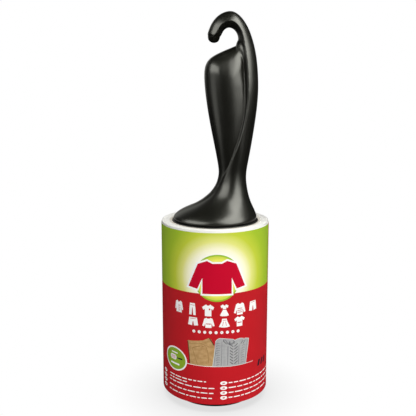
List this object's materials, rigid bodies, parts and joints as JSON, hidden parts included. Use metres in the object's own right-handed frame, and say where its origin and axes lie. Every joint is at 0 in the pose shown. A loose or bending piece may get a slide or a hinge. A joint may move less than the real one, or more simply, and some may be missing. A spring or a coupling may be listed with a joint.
{
  "type": "lint roller",
  "caption": "Hand lint roller: hollow moulded handle with a hanging hook and flared skirt, spinning cage, end cap, and slide-off adhesive sheet refill with a wrap-round label.",
  "frame": {"origin": "on the spin axis, at the flat bottom of the end cap", "axes": "+Z along the spin axis towards the hook, +X towards the spine of the handle, so the printed front of the label faces -Y"},
  "size_m": [0.0628, 0.0628, 0.2243],
  "materials": {
    "handle_plastic": "satin black moulded",
    "spool_plastic": "plain black moulded",
    "core_board": "spiral-wound cardboard",
    "sheet_paper": "coated adhesive paper",
    "printed_label": "printed wrap, red over green"
  },
  "bodies": {
    "handle": {"handle_front_shell": "handle_plastic", "handle_rear_shell": "handle_plastic", "axle": "spool_plastic"},
    "roller": {"roller_cage": "spool_plastic", "end_cap": "spool_plastic"},
    "refill": {"core_tube": "core_board", "adhesive_roll": "sheet_paper", "top_sheet": "sheet_paper"},
    "label_wrap": {"label_sleeve": "printed_label"}
  },
  "joints": [
    {"name": "roller_spin", "type": "hinge", "parent": "handle", "child": "roller", "pos_m": [0, 0, 0.056], "axis": [0, 0, 1], "continuous": true},
    {"name": "refill_slide", "type": "slide", "parent": "roller", "child": "refill", "axis": [0, 0, -1], "range_m": [0, 0.112]},
    {"name": "label_slide", "type": "slide", "parent": "refill", "child": "label_wrap", "axis": [0, 0, -1], "range_m": [0, 0.105]}
  ]
}
